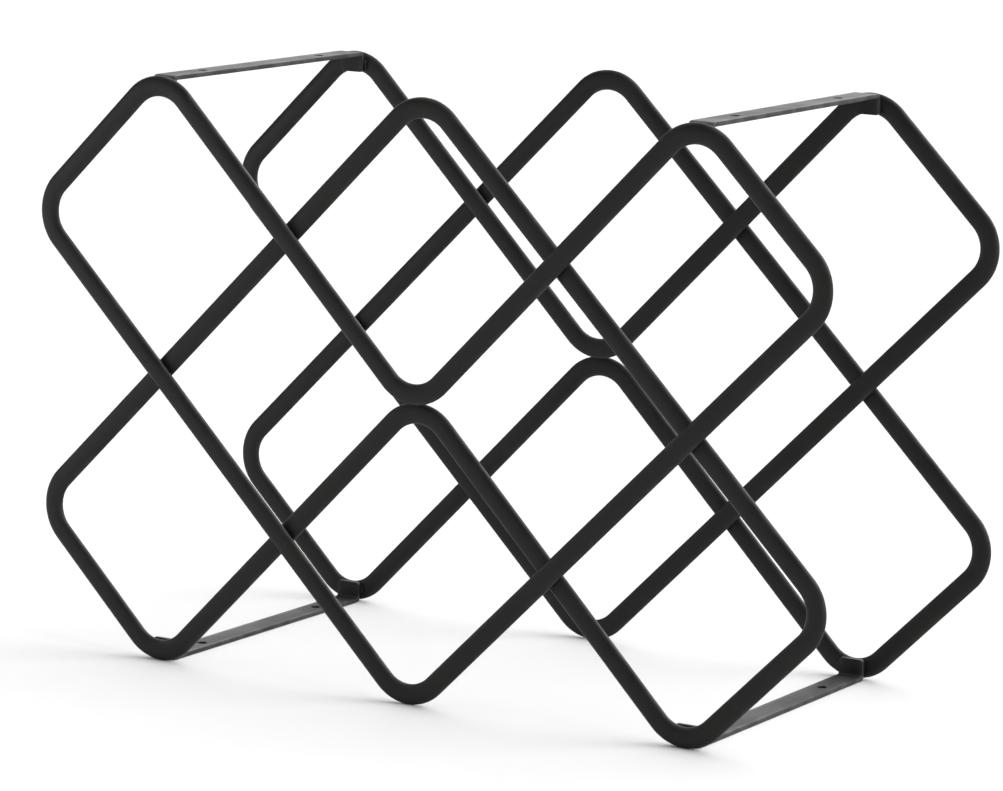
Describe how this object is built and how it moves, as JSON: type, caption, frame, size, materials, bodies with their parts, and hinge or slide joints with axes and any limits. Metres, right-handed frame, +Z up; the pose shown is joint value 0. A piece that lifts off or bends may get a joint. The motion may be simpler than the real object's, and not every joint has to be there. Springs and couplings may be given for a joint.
{
  "type": "wine rack",
  "caption": "Black metal countertop wine rack: two frames of crossed, bent rod loops joined by flat cross strips, with diamond cells that hold bottles front to back.",
  "frame": {"origin": "on the floor, under the middle of the rack", "axes": "+X across the cells, to the right as seen from the front; +Y from the front frame to the rear frame; +Z up"},
  "size_m": [0.4378, 0.1802, 0.2899],
  "materials": {
    "rod_coat": "satin black powder coat on flattened steel rod",
    "strip_coat": "satin black powder coat on flat steel strip",
    "weld_coat": "satin black powder coat over weld metal"
  },
  "bodies": {
    "root": {"front_heart": "rod_coat", "front_inverted_heart": "rod_coat", "rear_heart": "rod_coat", "rear_inverted_heart": "rod_coat", "top_left_strip": "strip_coat", "top_right_strip": "strip_coat", "bottom_left_strip": "strip_coat", "bottom_right_strip": "strip_coat", "front_weld_left": "weld_coat", "front_weld_upper_left": "weld_coat", "front_weld_upper_right": "weld_coat", "front_weld_right": "weld_coat", "front_weld_lower_right": "weld_coat", "front_weld_lower_left": "weld_coat", "front_weld_top_left_strip": "weld_coat", "front_weld_top_right_strip": "weld_coat", "front_weld_bottom_left_strip": "weld_coat", "front_weld_bottom_right_strip": "weld_coat", "rear_weld_left": "weld_coat", "rear_weld_upper_left": "weld_coat", "rear_weld_upper_right": "weld_coat", "rear_weld_right": "weld_coat", "rear_weld_lower_right": "weld_coat", "rear_weld_lower_left": "weld_coat", "rear_weld_top_left_strip": "weld_coat", "rear_weld_top_right_strip": "weld_coat", "rear_weld_bottom_left_strip": "weld_coat", "rear_weld_bottom_right_strip": "weld_coat"}
  },
  "joints": []
}
